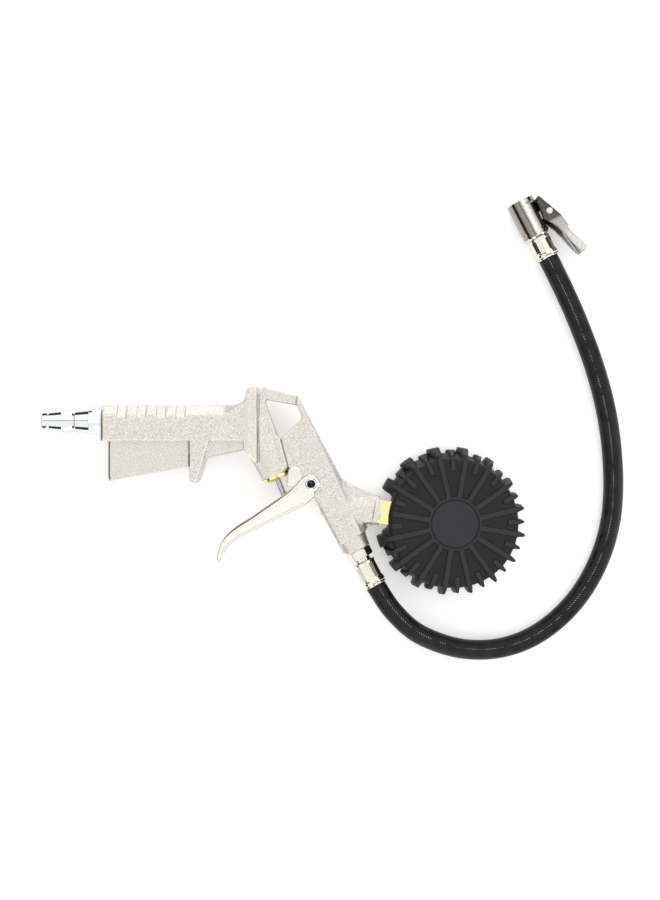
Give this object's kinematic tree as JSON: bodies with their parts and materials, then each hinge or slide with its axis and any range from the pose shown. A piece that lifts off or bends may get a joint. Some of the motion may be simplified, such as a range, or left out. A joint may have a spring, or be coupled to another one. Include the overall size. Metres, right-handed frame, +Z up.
{
  "type": "tyre inflator with gauge",
  "caption": "Air pistol with a lever valve, a pressure gauge in a rubber boot, and a hose with a clip-on tyre chuck.",
  "frame": {"origin": "middle of the box round the pistol and its gauge, on the surface it lies on; the free hose and its chuck are left out of that box", "axes": "+X from the air inlet towards the gauge, +Y up the back of the grip, +Z up, across the pistol, away from the dial"},
  "size_m": [0.3507, 0.2806, 0.0305],
  "materials": {
    "cast_body": "fine sand-blasted casting with a bright nickel finish",
    "steel_plug": "polished chrome plate",
    "washer_rubber": "matt moulded rubber",
    "turned_brass": "bright turned brass",
    "steel_small": "plain turned steel",
    "spring_steel": "drawn spring wire",
    "cream_trigger": "polished nickel plate",
    "nickel_fitting": "bright nickel plate",
    "chuck_nickel": "polished nickel plate",
    "lever_plate": "satin nickel plate",
    "hose_cover": "black rubber with a wrapped-cloth texture",
    "movement_brass": "plain rolled brass",
    "pointer_paint": "matt red paint",
    "dial_paint": "matt white paint",
    "case_paint": "satin black paint",
    "lens_glass": "clear flat glass",
    "boot_rubber": "matt moulded rubber"
  },
  "bodies": {
    "pistol": {"gun_body": "cast_body", "inlet_plug": "steel_plug", "inlet_washer": "washer_rubber", "valve_seat": "turned_brass", "valve_spring": "spring_steel", "packing_nut": "turned_brass", "packing_ring": "washer_rubber", "trigger_pin": "steel_plug", "hose_nipple": "nickel_fitting", "gun_ferrule": "nickel_fitting", "hose": "hose_cover", "gauge_stem": "turned_brass", "pressure_tube": "movement_brass", "rear_plate": "movement_brass", "front_plate": "movement_brass", "movement_pillars": "movement_brass", "movement_screws": "steel_small", "hairspring": "spring_steel", "dial_plate": "dial_paint", "dial_screws": "steel_small", "gauge_case": "case_paint", "case_screws": "steel_small", "lens_gasket": "washer_rubber", "lens": "lens_glass", "bezel_ring": "steel_plug", "gauge_boot": "boot_rubber", "chuck_ferrule": "nickel_fitting", "chuck_nipple": "nickel_fitting", "chuck_body": "chuck_nickel", "chuck_seal": "washer_rubber", "depressor_pin": "turned_brass", "lever_pin": "chuck_nickel", "lever_spring": "spring_steel"},
    "valve": {"valve_stem": "steel_small", "valve_seal": "washer_rubber"},
    "trigger": {"trigger": "cream_trigger"},
    "sector": {"sector_gear": "steel_small"},
    "pointer": {"pointer_arbor": "steel_small", "pointer": "pointer_paint"},
    "link": {"tube_link": "steel_small"},
    "chuck_lever": {"chuck_lever": "lever_plate"}
  },
  "joints": [
    {"name": "trigger_pivot", "type": "hinge", "parent": "pistol", "child": "trigger", "pos_m": [0.01588, 0.00503, 0.016], "axis": [0, 0, -1], "range_deg": [0, 12], "stiffness_Nm_per_rad": 0.6, "springref_deg": -20.05},
    {"name": "valve_stem_slide", "type": "slide", "parent": "pistol", "child": "valve", "axis": [-0.3907, 0.9205, 0], "range_m": [0, 0.0038], "deforming": ["valve_spring"]},
    {"name": "sector_swing", "type": "hinge", "parent": "pistol", "child": "sector", "pos_m": [0.10357, -0.00307, 0.016], "axis": [0, 0, -1], "range_deg": [0, 30]},
    {"name": "pointer_spin", "type": "hinge", "parent": "pistol", "child": "pointer", "pos_m": [0.10102, -0.01863, 0.016], "axis": [0, 0, 1], "range_deg": [0, 270], "deforming": ["hairspring"]},
    {"name": "link_swing", "type": "hinge", "parent": "sector", "child": "link", "pos_m": [0.09957, -0.00311, 0.016], "axis": [0, 0, -1], "range_deg": [-30, 0]},
    {"name": "chuck_lever_pivot", "type": "hinge", "parent": "pistol", "child": "chuck_lever", "pos_m": [0.15872, 0.16872, 0.0088], "axis": [0, 0, -1], "range_deg": [0, 12], "stiffness_Nm_per_rad": 0.25, "springref_deg": -17.19, "deforming": ["lever_spring"]}
  ],
  "couplings": [
    {"joint": "valve_stem_slide", "follows": "trigger_pivot", "m_per_rad": 0.017745},
    {"joint": "pointer_spin", "follows": "sector_swing", "ratio": 9},
    {"joint": "link_swing", "follows": "sector_swing", "ratio": -1}
  ]
}
